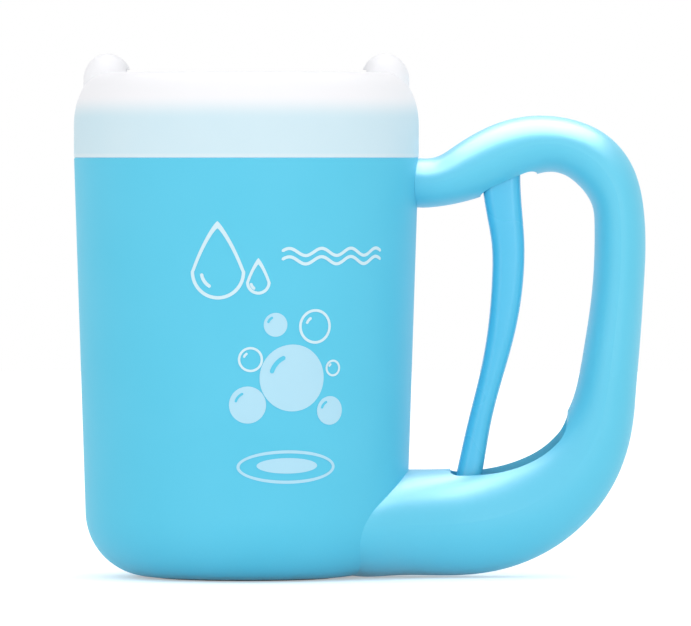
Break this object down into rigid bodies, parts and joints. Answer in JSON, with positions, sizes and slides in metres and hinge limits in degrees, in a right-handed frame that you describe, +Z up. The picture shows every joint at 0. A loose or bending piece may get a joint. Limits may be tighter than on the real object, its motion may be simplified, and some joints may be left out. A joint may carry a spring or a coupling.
{
  "type": "paw washer cup",
  "caption": "Round tapered cup with a lift-off rim cap and a loop handle, whose squeeze lever turns a brush drum inside through a rack and pinion.",
  "frame": {"origin": "on the cup's axis, at the face that it rests on", "axes": "+Z up along the cup's axis, +X towards the handle, -Y the front"},
  "size_m": [0.1943, 0.1172, 0.178],
  "materials": {
    "blue_shell": "gloss",
    "white_cap": "gloss",
    "handle_blue": "gloss",
    "lever_blue": "gloss",
    "white_plastic": "satin",
    "acetal": "satin",
    "steel": "brushed",
    "grey_rubber": "matt",
    "silicone": "satin"
  },
  "bodies": {
    "cup": {"cup_shell": "blue_shell", "well_floor": "white_plastic", "floor_seal": "grey_rubber", "floor_screws": "steel", "shaft_bush": "acetal", "shaft_seal": "grey_rubber", "thrust_washer": "steel", "base_pad": "grey_rubber", "rack_guide": "acetal", "handle_front_half": "handle_blue", "handle_rear_half": "handle_blue", "handle_screws": "steel", "lever_pin": "steel", "return_spring": "steel"},
    "lever": {"lever": "lever_blue"},
    "rack": {"drive_rack": "acetal", "rack_pin": "steel"},
    "drive": {"drive_shaft": "steel", "drive_pinion": "acetal", "shaft_clip": "steel", "drive_hub": "acetal"},
    "brush": {"brush_drum": "white_plastic", "drum_floor": "white_plastic", "brush_liner": "silicone"},
    "cap": {"rim_cap": "white_cap", "cap_gasket": "silicone"}
  },
  "joints": [
    {"name": "brush_spin", "type": "hinge", "parent": "cup", "child": "drive", "pos_m": [0, 0, 0.025], "axis": [0, 0, 1], "range_deg": [0, 203.7]},
    {"name": "rack_slide", "type": "slide", "parent": "cup", "child": "rack", "axis": [1, 0, 0], "range_m": [0, 0.0321]},
    {"name": "lever_pivot", "type": "hinge", "parent": "cup", "child": "lever", "pos_m": [0.0872, 0, 0.14347], "axis": [0, -1, 0], "range_deg": [0, 15.6], "deforming": ["return_spring"]},
    {"name": "cap_lift", "type": "slide", "parent": "cup", "child": "cap", "axis": [0, 0, 1], "range_m": [0, 0.155]},
    {"name": "brush_lift", "type": "slide", "parent": "drive", "child": "brush", "axis": [0, 0, 1], "range_m": [0, 0.14]}
  ],
  "couplings": [
    {"joint": "rack_slide", "follows": "brush_spin", "m_per_rad": 0.009},
    {"joint": "lever_pivot", "follows": "brush_spin", "ratio": 0.0755},
    {"joint": "brush_lift", "follows": "cap_lift", "ratio": 0.9}
  ]
}
